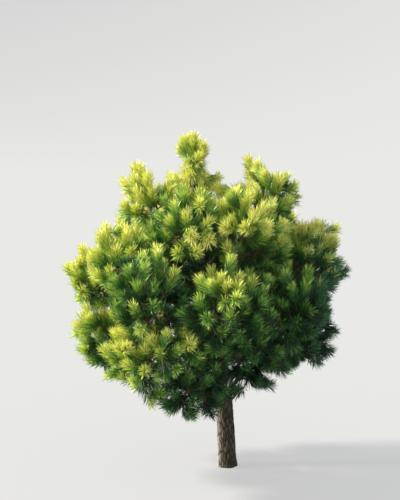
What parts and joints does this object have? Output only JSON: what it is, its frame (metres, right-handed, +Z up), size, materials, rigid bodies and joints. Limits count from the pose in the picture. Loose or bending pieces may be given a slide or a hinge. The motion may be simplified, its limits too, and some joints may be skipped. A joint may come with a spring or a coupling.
{
  "type": "ophir mountain pine standard",
  "caption": "Golden dwarf mountain pine grown as a standard: a short bare trunk, leaning a little, under a round dense crown of upright needle brushes.",
  "frame": {"origin": "centre of the flat cut under the trunk, at ground level", "axes": "+Z up along the trunk, -Y towards the viewer of the crown's front, +X to that viewer's right"},
  "size_m": [1.1494, 1.2434, 1.3618],
  "materials": {
    "bark_brown": "rough scaly bark",
    "bough_brown": "rough bark",
    "needle_gold": "satin needles",
    "needle_green": "satin needles"
  },
  "bodies": {
    "root": {"trunk": "bark_brown", "foliage_leader": "needle_gold", "bough_upper_left": "bough_brown", "foliage_upper_left": "needle_gold", "bough_upper_right": "bough_brown", "foliage_upper_right": "needle_gold", "bough_upper_back": "bough_brown", "foliage_upper_back": "needle_gold", "bough_upper_front": "bough_brown", "foliage_upper_front": "needle_gold", "bough_upper_front_right": "bough_brown", "foliage_upper_front_right": "needle_gold", "bough_left_shoulder": "bough_brown", "foliage_left_shoulder": "needle_gold", "bough_right_shoulder": "bough_brown", "foliage_right_shoulder": "needle_gold", "bough_back_right_shoulder": "bough_brown", "foliage_back_right_shoulder": "needle_gold", "bough_back_left_shoulder": "bough_brown", "foliage_back_left_shoulder": "needle_gold", "bough_left": "bough_brown", "foliage_left": "needle_gold", "bough_front_left": "bough_brown", "foliage_front_left": "needle_gold", "bough_front": "bough_brown", "foliage_front": "needle_gold", "bough_front_right": "bough_brown", "foliage_front_right": "needle_gold", "bough_right": "bough_brown", "foliage_right": "needle_gold", "bough_back_right": "bough_brown", "foliage_back_right": "needle_green", "bough_back": "bough_brown", "foliage_back": "needle_gold", "bough_back_left": "bough_brown", "foliage_back_left": "needle_gold", "bough_front_hollow": "bough_brown", "foliage_front_hollow": "needle_green", "bough_left_low": "bough_brown", "foliage_left_low": "needle_green", "bough_front_left_low": "bough_brown", "foliage_front_left_low": "needle_green", "bough_front_low": "bough_brown", "foliage_front_low": "needle_green", "bough_front_right_low": "bough_brown", "foliage_front_right_low": "needle_green", "bough_right_low": "bough_brown", "foliage_right_low": "needle_green", "bough_back_right_low": "bough_brown", "foliage_back_right_low": "needle_green", "bough_back_low": "bough_brown", "foliage_back_low": "needle_green", "bough_back_left_low": "bough_brown", "foliage_back_left_low": "needle_green", "bough_back_shoulder": "bough_brown", "foliage_back_shoulder": "needle_gold"}
  },
  "joints": []
}
